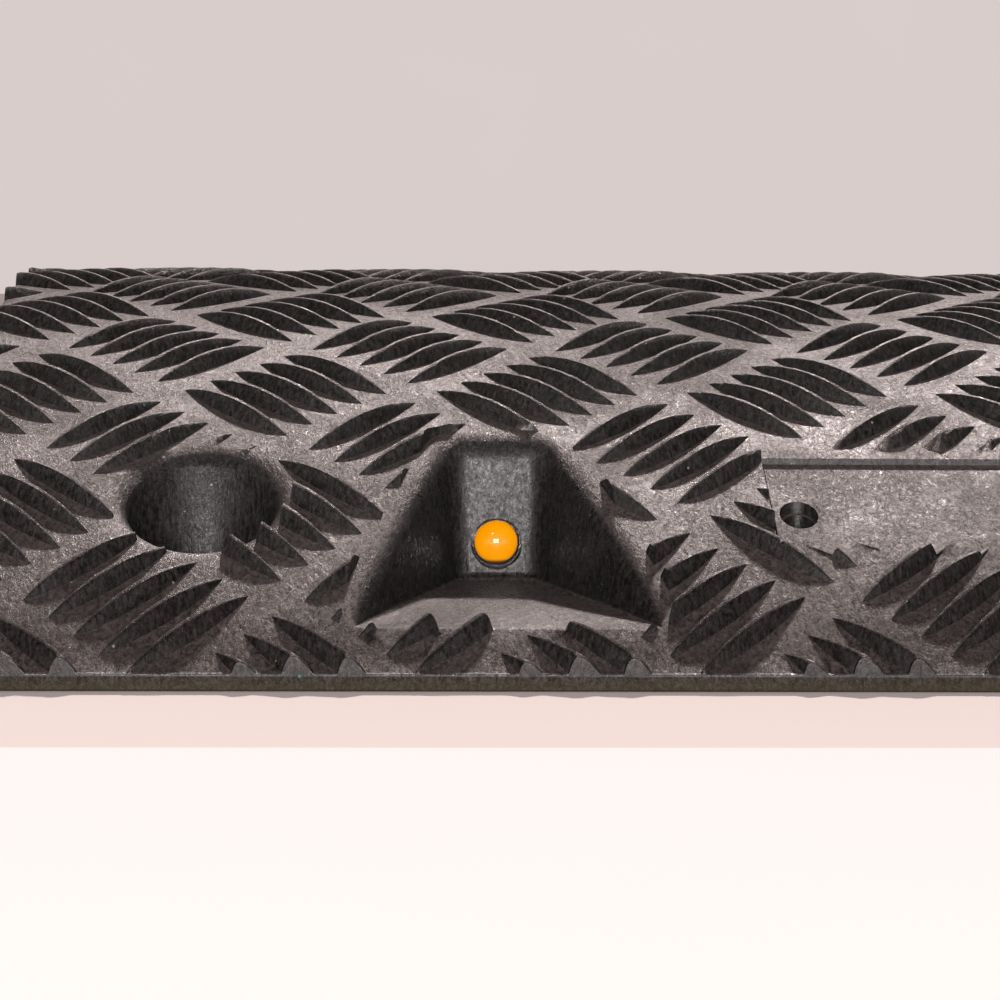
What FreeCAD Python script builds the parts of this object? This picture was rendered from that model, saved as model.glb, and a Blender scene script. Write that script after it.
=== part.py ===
import FreeCAD, Part
import math
import os

# Traffic-calming ramp module (speed hump section) moulded in recycled PVC.
#
# Frame: the origin is on the road surface, under the centre of the module. +X runs along the hump (from kerb
# to kerb), +Y is the direction of travel from the front edge to the back edge, +Z is up. Millimetres.
# The hump is an arc in the YZ plane, carried along X. A chequer tread of pointed bars stands on the arc.
# Bolts go down four vertical counterbores. Four pockets hold one glass ball reflector each: two at the front
# edge and two at the back edge.

# ---- module
MODULE_LENGTH = 500.0
HALF_DEPTH = 215.0
ARC_TOP = 71.3
LIP_HEIGHT = 3.0

# ---- tread: groups of five parallel bars, on two interleaved square grids turned to +45 and -45 degrees
GROUPS_PER_MODULE = 9
PITCH = MODULE_LENGTH / GROUPS_PER_MODULE
FIRST_ROW = 0.4093 * PITCH
FIRST_COLUMN = 0.75 * PITCH
BARS_PER_GROUP = 5
BAR_STEP = 0.0963 * PITCH
BAR_LENGTH = 0.5896 * PITCH
BAR_WIDTH = 4.5
BAR_HEIGHT = 3.0
BAR_SHOULDER = 0.27 * BAR_LENGTH
BAR_ROOT = 1.2
DRAW_SHARE = 0.5

# ---- bolt holes
HOLE_X = 197.0
HOLE_Y = 165.0
COUNTERBORE_DIAMETER = 31.0
COUNTERBORE_SEAT = 12.0
HOLE_DIAMETER = 14.0
RIM_ROUND = 3.9

# ---- reflector pockets
POCKET_X = 134.7
POCKET_FLOOR = 12.8
FLOOR_SLOPE = math.radians(2.0)
POCKET_WALL = 146.0
POCKET_FRONT = 218.0
POCKET_TRIM_FRONT = 204.5
WALL_HALF_WIDTH = 8.8
FRONT_HALF_WIDTH = 37.0
WALL_DRAFT = math.radians(4.8)
POCKET_ROUND = 3.0
POCKET_EDGE_ROUND = 2.2
POCKET_TOP = 70.0

# ---- glass balls and the mirror cups behind them
BALL_DIAMETER = 9.4
BALL_HEIGHT = 20.5
CUP_WALL = 0.25
SOCKET_DIAMETER = 9.94
FIT_GAP = 0.01

# ---- flat recess for a name plate, on the front face only
RECESS_HALF_LENGTH = 78.7
RECESS_FRONT = 178.8
RECESS_BACK = 150.2
RECESS_BACK_HEIGHT = 38.4
RECESS_LAND = 3.5
RECESS_RUN_OUT = 5.3
DIMPLE_DIAMETER = 8.0
DIMPLE_DEPTH = 3.6
DIMPLE_INSET = 5.7

ARC_RISE = ARC_TOP - LIP_HEIGHT
RADIUS = (HALF_DEPTH ** 2 + ARC_RISE ** 2) / (2.0 * ARC_RISE)
HALF_ANGLE = math.asin(HALF_DEPTH / RADIUS)
AXIS_HEIGHT = ARC_TOP - RADIUS
ARC_LENGTH = 2.0 * RADIUS * HALF_ANGLE


def surface_height(y):
    """Height of the bare arc at depth y."""
    return AXIS_HEIGHT + math.sqrt(RADIUS ** 2 - y ** 2)


def arc_point(angle):
    """Point of the arc at an angle from the crown, positive towards the back."""
    return FreeCAD.Vector(0, RADIUS * math.sin(angle), AXIS_HEIGHT + RADIUS * math.cos(angle))


def box_between(x0, x1, y0, y1, z0, z1):
    """Box between two corners."""
    return Part.makeBox(x1 - x0, y1 - y0, z1 - z0, FreeCAD.Vector(x0, y0, z0))


def hump_solid():
    """Arc profile with a thin lip at both edges, in strips one tread row deep, carried along X."""
    rows = 9
    edges = []
    for row in range(rows):
        start = HALF_ANGLE * (2.0 * row / rows - 1.0)
        end = HALF_ANGLE * (2.0 * (row + 1) / rows - 1.0)
        edges.append(Part.Arc(arc_point(start), arc_point((start + end) / 2.0), arc_point(end)).toShape())
    front_bottom = FreeCAD.Vector(0, -HALF_DEPTH, 0)
    back_bottom = FreeCAD.Vector(0, HALF_DEPTH, 0)
    edges.append(Part.makeLine(arc_point(HALF_ANGLE), back_bottom))
    edges.append(Part.makeLine(back_bottom, front_bottom))
    edges.append(Part.makeLine(front_bottom, arc_point(-HALF_ANGLE)))
    face = Part.Face(Part.Wire(edges))
    face.translate(FreeCAD.Vector(-MODULE_LENGTH / 2.0, 0, 0))
    return face.extrude(FreeCAD.Vector(MODULE_LENGTH, 0, 0))


def faceted_solid(points, faces):
    """Closed solid with flat faces, from points and lists of their numbers."""
    made = []
    for numbers in faces:
        corners = [points[n] for n in numbers]
        made.append(Part.Face(Part.makePolygon(corners + [corners[0]])))
    return Part.Solid(Part.Shell(made))


def bar_solid(distance, rising):
    """One tread bar centred at X = 0, this far along the arc from the front edge.

    The bar is pointed at both ends and highest along its middle. Its crest leans part of the way towards the
    vertical, which is the way that the mould opens.
    """
    angle = distance / RADIUS - HALF_ANGLE
    uphill = FreeCAD.Vector(0, math.cos(angle), -math.sin(angle))
    outward = FreeCAD.Vector(0, math.sin(angle), math.cos(angle))
    side = FreeCAD.Vector(1, 0, 0)
    turn = 1.0 if rising else -1.0
    along = (side + uphill * turn) * math.sqrt(0.5)
    across = (side * -turn + uphill) * math.sqrt(0.5)
    foot = arc_point(angle)
    lean = -math.tan(angle) * BAR_HEIGHT * DRAW_SHARE * math.sqrt(0.5)

    def at(u, v, w):
        return foot + along * u + across * v + outward * w

    tip = BAR_LENGTH / 2.0 + 1.0
    half = BAR_WIDTH / 2.0 + 0.4
    points = [
        at(-tip, 0, -BAR_ROOT),
        at(-BAR_SHOULDER, -half, -BAR_ROOT),
        at(BAR_SHOULDER, -half, -BAR_ROOT),
        at(tip, 0, -BAR_ROOT),
        at(BAR_SHOULDER, half, -BAR_ROOT),
        at(-BAR_SHOULDER, half, -BAR_ROOT),
        at(-BAR_SHOULDER * 0.8, lean, BAR_HEIGHT),
        at(BAR_SHOULDER * 0.8, lean, BAR_HEIGHT),
    ]
    faces = [
        [0, 1, 2, 3, 4, 5],
        [0, 1, 6],
        [1, 2, 7, 6],
        [2, 3, 7],
        [3, 4, 7],
        [4, 5, 6, 7],
        [5, 0, 6],
    ]
    return faceted_solid(points, faces)


def tread_bars():
    """Every tread bar that stands on the module, not yet trimmed."""
    bars = []
    rows = int(ARC_LENGTH / PITCH) + 3
    columns = GROUPS_PER_MODULE + 3
    for rising in (True, False):
        offset = 0.0 if rising else 0.5 * PITCH
        turn = 1.0 if rising else -1.0
        for row in range(-1, rows):
            for bar in range(BARS_PER_GROUP):
                shift = (bar - (BARS_PER_GROUP - 1) / 2.0) * BAR_STEP
                distance = FIRST_ROW + offset + row * PITCH - shift
                reach = BAR_LENGTH * math.sqrt(0.125)
                if distance < -reach * 0.9 or distance > ARC_LENGTH + reach * 0.9:
                    continue
                pattern = bar_solid(distance, rising)
                for column in range(-1, columns):
                    x = -MODULE_LENGTH / 2.0 + FIRST_COLUMN + offset + column * PITCH + turn * shift
                    if abs(x) > MODULE_LENGTH / 2.0 + reach * 0.9:
                        continue
                    copy = pattern.copy()
                    copy.translate(FreeCAD.Vector(x, 0, 0))
                    bars.append(copy)
    return bars


def pocket_cutter(x, facing):
    """The hollow in front of one glass ball. facing is -1 for the front edge and 1 for the back edge.

    Its walls lean outwards by the mould draft, and its floor falls towards the edge of the hump, to drain it.
    """
    floor_fall = (POCKET_FRONT - POCKET_WALL) * math.tan(FLOOR_SLOPE)
    draft_spread = (POCKET_TOP - POCKET_FLOOR) * math.tan(WALL_DRAFT)
    outline = []
    for height, fall, spread in ((POCKET_FLOOR, floor_fall, 0.0), (POCKET_TOP, 0.0, draft_spread)):
        wall = POCKET_WALL - spread
        corners = [
            FreeCAD.Vector(x - WALL_HALF_WIDTH - spread, facing * wall, height),
            FreeCAD.Vector(x + WALL_HALF_WIDTH + spread, facing * wall, height),
            FreeCAD.Vector(x + FRONT_HALF_WIDTH + spread, facing * POCKET_FRONT, height - fall),
            FreeCAD.Vector(x - FRONT_HALF_WIDTH - spread, facing * POCKET_FRONT, height - fall),
        ]
        outline.append(Part.makePolygon(corners + [corners[0]]))
    cutter = Part.makeLoft(outline, True, True)
    rounded = []
    for edge in cutter.Edges:
        middle = edge.CenterOfMass
        at_front = abs(middle.y) > POCKET_FRONT - 1.0
        at_top = middle.z > POCKET_TOP - 1.0
        if not at_front and not at_top:
            rounded.append(edge)
    return cutter.makeFillet(POCKET_ROUND, rounded)


def pocket_outline(x, facing, margin):
    """Straight-sided block over one pocket, wider than it by a margin, that keeps tread bars off its edge."""
    spread = (surface_height(POCKET_WALL) - POCKET_FLOOR) * math.tan(WALL_DRAFT) + margin
    wall = POCKET_WALL - spread
    flare = (FRONT_HALF_WIDTH - WALL_HALF_WIDTH) / (POCKET_FRONT - POCKET_WALL)
    front_half = WALL_HALF_WIDTH + flare * (POCKET_TRIM_FRONT - POCKET_WALL) + margin
    corners = [
        FreeCAD.Vector(x - WALL_HALF_WIDTH - spread, facing * wall, 0),
        FreeCAD.Vector(x + WALL_HALF_WIDTH + spread, facing * wall, 0),
        FreeCAD.Vector(x + front_half, facing * POCKET_TRIM_FRONT, 0),
        FreeCAD.Vector(x - front_half, facing * POCKET_TRIM_FRONT, 0),
    ]
    face = Part.Face(Part.makePolygon(corners + [corners[0]]))
    return face.extrude(FreeCAD.Vector(0, 0, POCKET_TOP + 20.0))


def ball_centre(x, facing):
    """Centre of the glass ball, whose front touches the plane of the pocket wall."""
    wall = POCKET_WALL - (BALL_HEIGHT - POCKET_FLOOR) * math.tan(WALL_DRAFT)
    return FreeCAD.Vector(x, facing * (wall - BALL_DIAMETER / 2.0), BALL_HEIGHT)


def socket_cutter(x, facing):
    """Blind round-ended bore for one ball and its cup."""
    centre = ball_centre(x, facing)
    bore = Part.makeCylinder(SOCKET_DIAMETER / 2.0, BALL_DIAMETER, centre, FreeCAD.Vector(0, facing, 0))
    return bore.fuse(Part.makeSphere(SOCKET_DIAMETER / 2.0, centre))


def glass_ball(x, facing):
    """Glass ball reflector."""
    return Part.makeSphere(BALL_DIAMETER / 2.0, ball_centre(x, facing))


def mirror_cup(x, facing):
    """Thin half-round metal cup that seats the ball and mirrors light back through it."""
    centre = ball_centre(x, facing)
    inner = BALL_DIAMETER / 2.0 + FIT_GAP
    outer = inner + CUP_WALL
    shell = Part.makeSphere(outer, centre).cut(Part.makeSphere(inner, centre))
    size = 2.0 * outer + 2.0
    low = centre.y - size if facing < 0 else centre.y
    half = box_between(x - size, x + size, low, low + size, centre.z - size, centre.z + size)
    return shell.cut(half)


def recess_cutter():
    """Wedge that flattens the front face for a name plate. It is deepest at its back wall.

    It meets the bare arc at the recess front, and runs out over the next bars, which it shaves down.
    """
    rise = RECESS_BACK_HEIGHT - surface_height(RECESS_FRONT)
    fall = rise * (RECESS_RUN_OUT / (RECESS_FRONT - RECESS_BACK))
    front_y = -RECESS_FRONT - RECESS_RUN_OUT
    front = FreeCAD.Vector(-RECESS_HALF_LENGTH, front_y, surface_height(RECESS_FRONT) - fall)
    back = FreeCAD.Vector(-RECESS_HALF_LENGTH, -RECESS_BACK, RECESS_BACK_HEIGHT)
    above_back = FreeCAD.Vector(-RECESS_HALF_LENGTH, -RECESS_BACK, POCKET_TOP)
    above_front = FreeCAD.Vector(-RECESS_HALF_LENGTH, front_y, POCKET_TOP)
    face = Part.Face(Part.makePolygon([front, back, above_back, above_front, front]))
    return face.extrude(FreeCAD.Vector(2.0 * RECESS_HALF_LENGTH, 0, 0))


def dimple_cutter(side):
    """Blind round hole near one end of the recess, square to its floor."""
    rise = RECESS_BACK_HEIGHT - surface_height(RECESS_FRONT)
    run = RECESS_FRONT - RECESS_BACK
    slope = math.atan2(rise, run)
    middle = FreeCAD.Vector(
        side * (RECESS_HALF_LENGTH - DIMPLE_INSET),
        -RECESS_FRONT + 0.32 * run,
        surface_height(RECESS_FRONT) + 0.32 * rise,
    )
    axis = FreeCAD.Vector(0, -math.sin(slope), math.cos(slope))
    return Part.makeCylinder(DIMPLE_DIAMETER / 2.0, DIMPLE_DEPTH + 3.0, middle - axis * DIMPLE_DEPTH, axis)


def ramp_body():
    """The moulded ramp: arc, pockets, holes, recess and tread in one piece."""
    body = hump_solid()
    pockets = [(side * POCKET_X, facing) for side in (-1, 1) for facing in (-1, 1)]
    holes = [(side * HOLE_X, end * HOLE_Y) for side in (-1, 1) for end in (-1, 1)]

    cutters = [pocket_cutter(x, facing) for x, facing in pockets]
    for x, y in holes:
        seat = FreeCAD.Vector(x, y, COUNTERBORE_SEAT)
        cutters.append(Part.makeCylinder(COUNTERBORE_DIAMETER / 2.0, POCKET_TOP, seat))
    body = body.cut(Part.makeCompound(cutters))

    rims = []
    for edge in body.Edges:
        box = edge.BoundBox
        for x, y in holes:
            near = abs(box.Center.x - x) < 3.0 and abs(box.Center.y - y) < 6.0
            if near and box.XLength < COUNTERBORE_DIAMETER + 1.0 and box.ZMin > COUNTERBORE_SEAT + 1.0:
                rims.append(edge)
    body = body.makeFillet(RIM_ROUND, rims)

    trims = [pocket_outline(x, facing, POCKET_EDGE_ROUND) for x, facing in pockets]
    for x, y in holes:
        reach = COUNTERBORE_DIAMETER / 2.0 + RIM_ROUND
        trims.append(Part.makeCylinder(reach, POCKET_TOP + 20.0, FreeCAD.Vector(x, y, 0)))
    recess_x = RECESS_HALF_LENGTH
    recess_y = RECESS_BACK - RECESS_LAND
    trims.append(box_between(-recess_x, recess_x, -RECESS_FRONT, -recess_y, 0, POCKET_TOP + 20.0))
    room = box_between(
        -MODULE_LENGTH / 2.0, MODULE_LENGTH / 2.0, -HALF_DEPTH, HALF_DEPTH, 0.0, ARC_TOP + 3.0 * BAR_HEIGHT
    )
    bars = []
    for bar in tread_bars():
        box = bar.BoundBox
        if not room.BoundBox.isInside(box):
            bar = bar.common(room)
        for trim in trims:
            if bar.Solids and bar.BoundBox.intersect(trim.BoundBox):
                bar = bar.cut(trim)
        bars.extend(solid for solid in bar.Solids if solid.Volume > 0.5)
    body = body.multiFuse(bars)

    after = [recess_cutter(), dimple_cutter(-1), dimple_cutter(1)]
    after += [socket_cutter(x, facing) for x, facing in pockets]
    for x, y in holes:
        after.append(Part.makeCylinder(HOLE_DIAMETER / 2.0, 40.0, FreeCAD.Vector(x, y, -5.0)))
    return body.cut(Part.makeCompound(after))


def largest_solid(shape):
    """The one solid of a shape that came back as a compound."""
    return max(shape.Solids, key=lambda solid: solid.Volume)


os.makedirs("parts", exist_ok=True)
nodes = {"ramp_body": largest_solid(ramp_body())}
for side, side_name in ((-1, "left"), (1, "right")):
    for facing, facing_name in ((-1, "front"), (1, "back")):
        name = facing_name + "_" + side_name
        nodes["glass_ball_" + name] = glass_ball(side * POCKET_X, facing)
        nodes["mirror_cup_" + name] = mirror_cup(side * POCKET_X, facing)
for name, shape in nodes.items():
    shape.exportStep("parts/" + name + ".step")
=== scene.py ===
import math

import bmesh
import bpy
import numpy as np
from mathutils import Matrix, Vector
from mathutils.geometry import delaunay_2d_cdt


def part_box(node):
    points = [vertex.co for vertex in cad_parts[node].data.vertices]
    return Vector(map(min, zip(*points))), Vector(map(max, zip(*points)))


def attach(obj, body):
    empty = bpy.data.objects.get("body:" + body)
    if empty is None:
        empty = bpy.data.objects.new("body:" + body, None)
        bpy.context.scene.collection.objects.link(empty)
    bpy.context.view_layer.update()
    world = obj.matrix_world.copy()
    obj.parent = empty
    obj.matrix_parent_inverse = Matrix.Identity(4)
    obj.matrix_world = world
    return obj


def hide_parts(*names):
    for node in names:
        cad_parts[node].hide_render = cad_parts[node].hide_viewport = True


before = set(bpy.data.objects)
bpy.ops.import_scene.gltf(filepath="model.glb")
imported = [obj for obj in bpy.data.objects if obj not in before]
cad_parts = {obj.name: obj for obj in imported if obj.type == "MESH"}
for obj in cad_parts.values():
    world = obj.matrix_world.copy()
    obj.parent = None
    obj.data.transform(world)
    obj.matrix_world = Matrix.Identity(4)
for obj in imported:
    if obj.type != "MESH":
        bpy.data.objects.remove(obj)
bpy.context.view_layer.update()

# A speed hump section: one thick moulding with a chequer tread, and four glass ball reflectors in mirror cups.
# Shapes are worked out in millimetres in the row's frame, and turned into metres when a mesh is made.
MM = 0.001

# ---- the arc, from the CAD body's box
body_low, body_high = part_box("ramp_body")
HALF_LENGTH = body_high[0] / MM
HALF_DEPTH = body_high[1] / MM
BAR_HEIGHT = 3.0
ARC_TOP = body_high[2] / MM - BAR_HEIGHT
LIP_HEIGHT = 3.0
ARC_RISE = ARC_TOP - LIP_HEIGHT
RADIUS = (HALF_DEPTH ** 2 + ARC_RISE ** 2) / (2.0 * ARC_RISE)
HALF_ANGLE = math.asin(HALF_DEPTH / RADIUS)
AXIS_HEIGHT = ARC_TOP - RADIUS
ARC_LENGTH = 2.0 * RADIUS * HALF_ANGLE
EDGE_BREAK = 0.35
TOP_ROUND = 0.95
# the moulding's edge: how far out and how far down, from the end of the arc to the upright face
LIP_EDGE = [(0.70, 0.16), (0.88, 0.26), (0.95, 0.45), (0.95, 0.65)]

# ---- tread
PITCH = 2.0 * HALF_LENGTH / 9.0
FIRST_ROW = 0.4093 * PITCH
FIRST_COLUMN = 0.75 * PITCH
BARS_PER_GROUP = 5
BAR_STEP = 0.0963 * PITCH
BAR_LENGTH = 0.5896 * PITCH
BAR_WIDTH = 4.5
# a bar's crest leans this share of the way from the vertical, where the mould opens, to square to the slope
BAR_LEAN = 0.5
BAR_STATIONS = 12
# cross-section of a bar: share of its half width, share of its height
BAR_ACROSS = np.array([0.0, 0.17, 0.40, 0.73, 1.0])
BAR_RISE = np.array([1.0, 0.98, 0.82, 0.42, 0.0])

# ---- bolt holes
HOLE_X = 197.0
HOLE_Y = 165.0
COUNTERBORE_RADIUS = 15.5
COUNTERBORE_SEAT = 12.0
HOLE_RADIUS = 7.0
RIM_ROUND = 3.5
# a rim starts at this angle to the tread, and turns down to the other
RIM_START = 20.0
RIM_END = 57.0

# ---- reflector pockets
POCKET_X = 134.7
POCKET_FLOOR = 12.8
FLOOR_SLOPE = math.radians(2.0)
POCKET_WALL = 146.0
WALL_HALF_WIDTH = 8.3
FLARE = 28.2 / 72.0
WALL_DRAFT = math.radians(4.8)
CORNER_ROUND = 3.2
FLOOR_ROUND = 1.6
EDGE_ROUND = 4.6
POCKET_MARGIN = 0.5

# ---- recess for a name plate
RECESS_HALF_LENGTH = 78.7
RECESS_FRONT = 178.8
RECESS_BACK = 150.2
RECESS_BACK_HEIGHT = 38.4
RECESS_LAND = 3.5
RECESS_RUN_OUT = 5.3
GROOVE_WIDTH = 0.45
GROOVE_DEPTH = 1.3
DIMPLE_HALF_LENGTH = 4.0
DIMPLE_HALF_DEPTH = 5.0
DIMPLE_STEP = 2.4
DIMPLE_BOTTOM = 5.5
DIMPLE_CORE = 0.84
DIMPLE_INSET = 5.7

# ---- where a bar runs out above an opening, it comes down over this length
LAND_FADE = 2.6
HOLE_FADE = 2.8
# a bar beside or below a hole keeps its full height up to the rim
FULL_BESIDE_HOLE = 1.8

# ---- glass balls: what lies below is in the socket's own shade
BALL_SHADE_LOW = 16.1
BALL_SHADE_HIGH = 17.2

# ---- regions of the top in plan view; a pocket or a hole takes the first zone or one after it
OUTSIDE, TREAD, PLAIN, RECESS, DIMPLE, CORE, SHAVED, GROOVE = range(8)
FIRST_ZONE = 10

# ---- mirror cups: painted shade starts this far inside the rim, and is full this far inside it
RIM_SHADE_START = 1.2
RIM_SHADE_FULL = 0.5

SIDES = (-1, 1)


# ------------------------------------------------------------------ shape of the top, as height over a place


def plain_height(y):
    """The bare arc."""
    return AXIS_HEIGHT + np.sqrt(RADIUS ** 2 - np.clip(y, -HALF_DEPTH - 30, HALF_DEPTH + 30) ** 2)


def depth_of(distance):
    """Y of a place this far along the arc from the front edge."""
    return RADIUS * np.sin(distance / RADIUS - HALF_ANGLE)


def distance_of(y):
    """How far along the arc a place is, from the front edge."""
    return RADIUS * (np.arcsin(np.clip(y / RADIUS, -1, 1)) + HALF_ANGLE)


def bar_half_width(share):
    """Half width of a bar at a share of its half length."""
    return BAR_WIDTH / 2.0 * np.maximum(1.0 - share ** 2, 0.0) ** 0.85


def crest_height(share):
    """Height of a bar's crest at a share of its half length."""
    return BAR_HEIGHT * np.maximum(1.0 - share ** 2, 0.0) ** 0.95


def bar_height(share, part):
    """Height of a bar above the arc, at a share of its half length and a part of its half width there."""
    return crest_height(share) * np.interp(np.abs(part), BAR_ACROSS, BAR_RISE)


def bar_rise(x, y):
    """How high the tread stands over the arc, for feet at these places."""
    distance = distance_of(y)
    rise = np.zeros_like(x)
    for turn in (1, -1):
        offset = 0.0 if turn > 0 else 0.5 * PITCH
        dx = x + HALF_LENGTH - FIRST_COLUMN - offset
        ds = distance - FIRST_ROW - offset
        dx = dx - np.round(dx / PITCH) * PITCH
        ds = ds - np.round(ds / PITCH) * PITCH
        along = (dx + turn * ds) * math.sqrt(0.5)
        across = (ds - turn * dx) * math.sqrt(0.5)
        step = BAR_STEP * math.sqrt(2.0)
        reach = (BARS_PER_GROUP - 1) // 2
        across = across + np.clip(np.round(-across / step), -reach, reach) * step
        share = along / (BAR_LENGTH / 2.0)
        part = across / np.maximum(bar_half_width(share), 1e-6)
        inside = (np.abs(share) < 1.0) & (np.abs(part) < 1.0)
        rise = np.where(inside, np.maximum(rise, bar_height(share, part)), rise)
    return rise


def tread_height(x, y):
    """The arc with its tread bars. What stands above a place has its foot a little uphill of it."""
    foot = y
    for _ in range(8):
        rise = bar_rise(x, foot)
        foot = y - BAR_LEAN * rise * foot / RADIUS
    rise = bar_rise(x, foot)
    slope = np.sqrt(np.maximum(1.0 - (foot / RADIUS) ** 2, 0.05))
    full = plain_height(foot) + rise * (BAR_LEAN * slope + (1.0 - BAR_LEAN) / slope)
    plain = plain_height(y)
    return plain + kept_share(x, y) * (full - plain)


def kept_share(x, y):
    """Share of its height that a bar keeps: it comes down above the recess, and round the bolt holes."""
    land_y = -RECESS_BACK + RECESS_LAND
    over = np.maximum(y - land_y, np.abs(x) - RECESS_HALF_LENGTH) / LAND_FADE
    kept = np.where((y >= land_y) & (y < 0.0), np.clip(over, 0.0, 1.0), 1.0)
    dx = np.abs(x) - HOLE_X
    dy = np.abs(y) - HOLE_Y
    reach = np.hypot(dx, dy)
    uphill = np.maximum(-dy / np.maximum(reach, 1e-6), 0.0)
    beside = (reach - COUNTERBORE_RADIUS - RIM_ROUND) / HOLE_FADE + FULL_BESIDE_HOLE * (1.0 - uphill)
    return kept * np.clip(beside, 0.0, 1.0)


def recess_height(y):
    """Floor of the name-plate recess."""
    start = plain_height(RECESS_FRONT)
    slope = (RECESS_BACK_HEIGHT - start) / (RECESS_FRONT - RECESS_BACK)
    return start + (y + RECESS_FRONT) * slope - 0.02


def shaved_height(x, y):
    """Top of the bars that the recess's run-out shaves down."""
    return np.minimum(tread_height(x, y), np.maximum(plain_height(y), recess_height(y)))


def pocket_floor_height(y):
    """Floor of a front pocket."""
    return POCKET_FLOOR + (y + POCKET_WALL) * math.tan(FLOOR_SLOPE)


# ------------------------------------------------------------------ small tools


def inside_polygon(px, py, polygon):
    """Which points lie inside a closed polygon."""
    result = np.zeros(len(px), dtype=bool)
    low = polygon.min(axis=0)
    high = polygon.max(axis=0)
    near = np.nonzero((px >= low[0]) & (px <= high[0]) & (py >= low[1]) & (py <= high[1]))[0]
    if not len(near):
        return result
    x = px[near]
    y = py[near]
    odd = np.zeros(len(near), dtype=bool)
    for (x0, y0), (x1, y1) in zip(polygon, np.roll(polygon, -1, axis=0)):
        if y0 == y1:
            continue
        crosses = (y0 > y) != (y1 > y)
        odd ^= crosses & (x < x0 + (y - y0) * (x1 - x0) / (y1 - y0))
    result[near] = odd
    return result


def circle(x, y, radius, count):
    """Points round a circle."""
    turn = np.arange(count) * 2.0 * math.pi / count
    return np.column_stack([x + radius * np.cos(turn), y + radius * np.sin(turn)])


def spaced_line(start, end, step):
    """Points from start to end, without the end."""
    start = np.array(start, dtype=float)
    end = np.array(end, dtype=float)
    count = max(1, int(round(np.linalg.norm(end - start) / step)))
    return start + (end - start) * (np.arange(count) / count)[:, None]


def spaced_polygon(corners, step):
    """A closed polygon with points along its sides."""
    return np.vstack([spaced_line(a, b, step) for a, b in zip(corners, corners[1:] + corners[:1])])


def triangulate(points, edges):
    """Triangles of a constrained Delaunay triangulation: points out, triangles, and the input point of each."""
    made = delaunay_2d_cdt([Vector(p) for p in points], edges, [], 0, 1e-6)
    out = np.array([tuple(v) for v in made[0]])
    triangles = np.array(made[2])
    source = [list(o)[0] if len(o) else -1 for o in made[3]]
    return out, triangles, source


def loop_edges(first, count):
    """Edges of a closed loop of points."""
    return [(first + n, first + (n + 1) % count) for n in range(count)]


class Surface:
    """Points and faces of one mesh, gathered piece by piece, in millimetres."""

    def __init__(self):
        self.points = []
        self.faces = []

    def add(self, points):
        """Adds points and returns their numbers."""
        first = len(self.points)
        self.points.extend([float(p[0]), float(p[1]), float(p[2])] for p in points)
        return list(range(first, len(self.points)))

    def strip(self, one, other, closed=True):
        """Quads between two rows of the same length."""
        count = len(one)
        last = count if closed else count - 1
        for n in range(last):
            m = (n + 1) % count
            self.faces.append((one[n], one[m], other[m], other[n]))

    def fill(self, loops, plane=(0, 1)):
        """Triangles inside the first loop and outside the others."""
        numbers = [n for loop in loops for n in loop]
        flat = np.array([[self.points[n][plane[0]], self.points[n][plane[1]]] for n in numbers])
        edges = []
        polygons = []
        first = 0
        for loop in loops:
            edges += loop_edges(first, len(loop))
            polygons.append(flat[first:first + len(loop)])
            first += len(loop)
        out, triangles, source = triangulate(flat, edges)
        middle = out[triangles].mean(axis=1)
        keep = inside_polygon(middle[:, 0], middle[:, 1], polygons[0])
        for polygon in polygons[1:]:
            keep &= ~inside_polygon(middle[:, 0], middle[:, 1], polygon)
        for triangle in triangles[keep]:
            self.faces.append(tuple(numbers[source[n]] for n in triangle))

    def mesh_object(self, name, sharp_degrees):
        """A mesh object in metres with its doubles merged and its normals pointing out."""
        mesh = bpy.data.meshes.new(name)
        mesh.from_pydata([Vector(p) * MM for p in self.points], [], self.faces)
        work = bmesh.new()
        work.from_mesh(mesh)
        bmesh.ops.remove_doubles(work, verts=work.verts, dist=3e-6)
        bmesh.ops.dissolve_degenerate(work, edges=work.edges, dist=1e-6)
        bmesh.ops.recalc_face_normals(work, faces=work.faces)
        work.to_mesh(mesh)
        work.free()
        mesh.shade_smooth()
        mesh.set_sharp_from_angle(angle=math.radians(sharp_degrees))
        made = bpy.data.objects.new(name, mesh)
        bpy.context.scene.collection.objects.link(made)
        return made


# ------------------------------------------------------------------ the ramp body


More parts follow.
